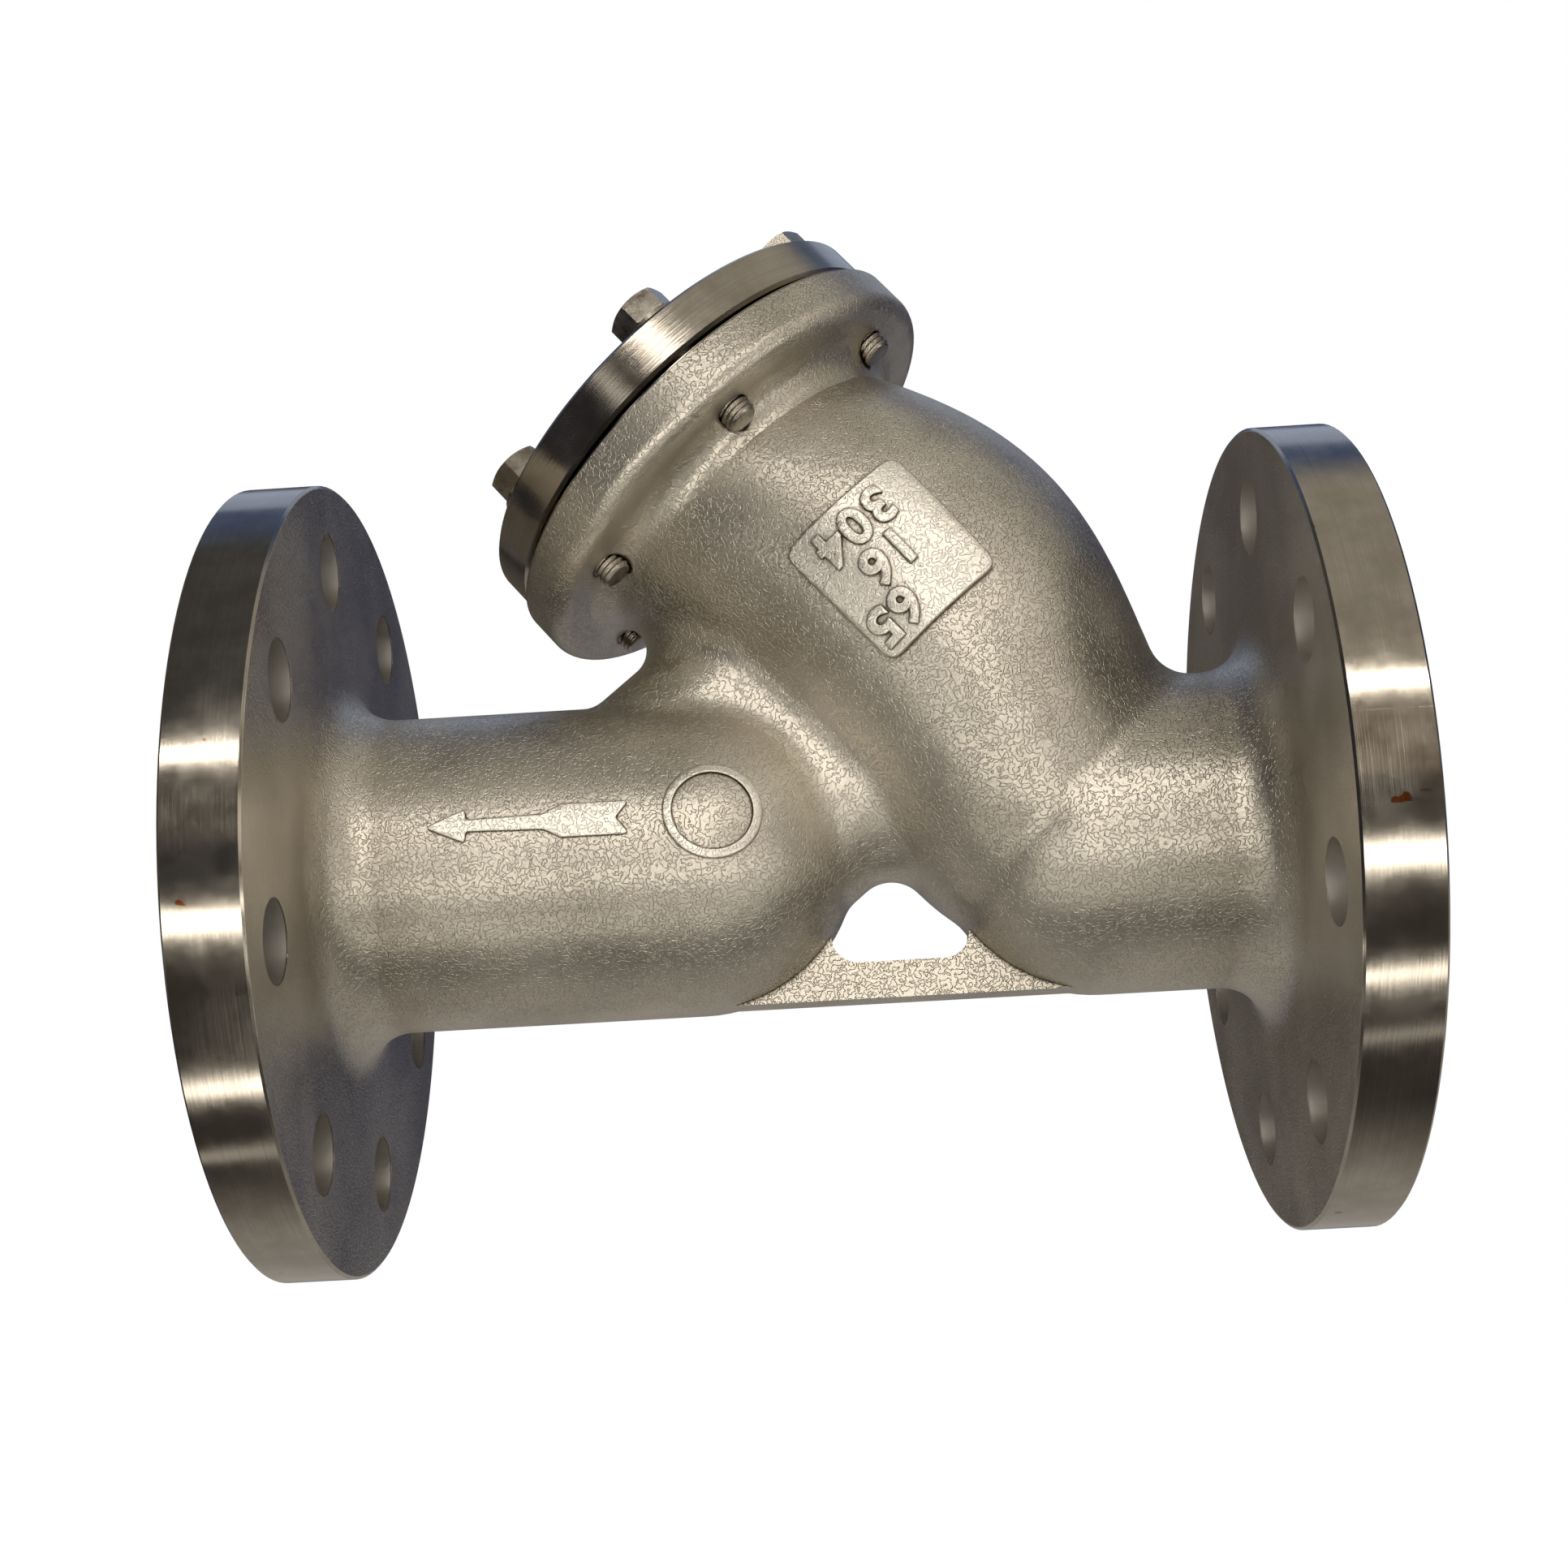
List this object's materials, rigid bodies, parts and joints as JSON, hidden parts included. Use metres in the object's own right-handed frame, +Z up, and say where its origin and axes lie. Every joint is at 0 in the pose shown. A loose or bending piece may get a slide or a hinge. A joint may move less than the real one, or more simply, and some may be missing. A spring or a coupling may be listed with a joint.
{
  "type": "flanged y strainer",
  "caption": "Cast Y strainer with two pipe flanges, a bolted cover on a slanted leg and a removable perforated screen that catches solids from the flow.",
  "frame": {"origin": "centre of the raised face of the outlet flange", "axes": "+X along the pipe axis from the outlet to the inlet, +Z up in the plane of the slanted leg, which leans back over the outlet"},
  "size_m": [0.25, 0.185, 0.2414],
  "materials": {
    "cast_steel": "satin blasted casting",
    "machined_steel": "turned, satin",
    "fastener_steel": "rolled and cut steel, satin",
    "screen_steel": "perforated sheet, satin",
    "gasket": "matte"
  },
  "bodies": {
    "body": {"body_casting": "cast_steel", "leg_flange": "cast_steel", "web": "cast_steel", "inlet_flange": "cast_steel", "inlet_pipe": "cast_steel", "outlet_flange": "cast_steel", "outlet_pipe": "cast_steel", "cover_gasket": "gasket", "cover_stud_1": "fastener_steel", "cover_stud_2": "fastener_steel", "cover_stud_3": "fastener_steel", "cover_stud_4": "fastener_steel", "cover_stud_5": "fastener_steel", "cover_stud_6": "fastener_steel"},
    "screen": {"screen_tube": "screen_steel", "screen_mesh": "screen_steel", "screen_seat_ring": "screen_steel", "screen_cover_ring": "screen_steel"},
    "cover": {"cover_plate": "machined_steel", "stud_washer_1": "fastener_steel", "stud_washer_2": "fastener_steel", "stud_washer_3": "fastener_steel", "stud_washer_4": "fastener_steel", "stud_washer_5": "fastener_steel", "stud_washer_6": "fastener_steel"},
    "nut_1": {"cover_nut_1": "fastener_steel"},
    "nut_2": {"cover_nut_2": "fastener_steel"},
    "nut_3": {"cover_nut_3": "fastener_steel"},
    "nut_4": {"cover_nut_4": "fastener_steel"},
    "nut_5": {"cover_nut_5": "fastener_steel"},
    "nut_6": {"cover_nut_6": "fastener_steel"},
    "plug": {"drain_plug": "fastener_steel", "plug_gasket": "gasket"}
  },
  "joints": [
    {"name": "screen_lift", "type": "slide", "parent": "body", "child": "screen", "axis": [-0.6334, 0, 0.7738], "range_m": [0, 0.125]},
    {"name": "cover_lift", "type": "slide", "parent": "screen", "child": "cover", "axis": [-0.6334, 0, 0.7738], "range_m": [0, 0.06]},
    {"name": "nut_1_off", "type": "slide", "parent": "cover", "child": "nut_1", "axis": [-0.6334, 0, 0.7738], "range_m": [0, 0.02]},
    {"name": "nut_2_off", "type": "slide", "parent": "cover", "child": "nut_2", "axis": [-0.6334, 0, 0.7738], "range_m": [0, 0.02]},
    {"name": "nut_3_off", "type": "slide", "parent": "cover", "child": "nut_3", "axis": [-0.6334, 0, 0.7738], "range_m": [0, 0.02]},
    {"name": "nut_4_off", "type": "slide", "parent": "cover", "child": "nut_4", "axis": [-0.6334, 0, 0.7738], "range_m": [0, 0.02]},
    {"name": "nut_5_off", "type": "slide", "parent": "cover", "child": "nut_5", "axis": [-0.6334, 0, 0.7738], "range_m": [0, 0.02]},
    {"name": "nut_6_off", "type": "slide", "parent": "cover", "child": "nut_6", "axis": [-0.6334, 0, 0.7738], "range_m": [0, 0.02]},
    {"name": "plug_out", "type": "slide", "parent": "cover", "child": "plug", "axis": [-0.6334, 0, 0.7738], "range_m": [0, 0.03]}
  ]
}
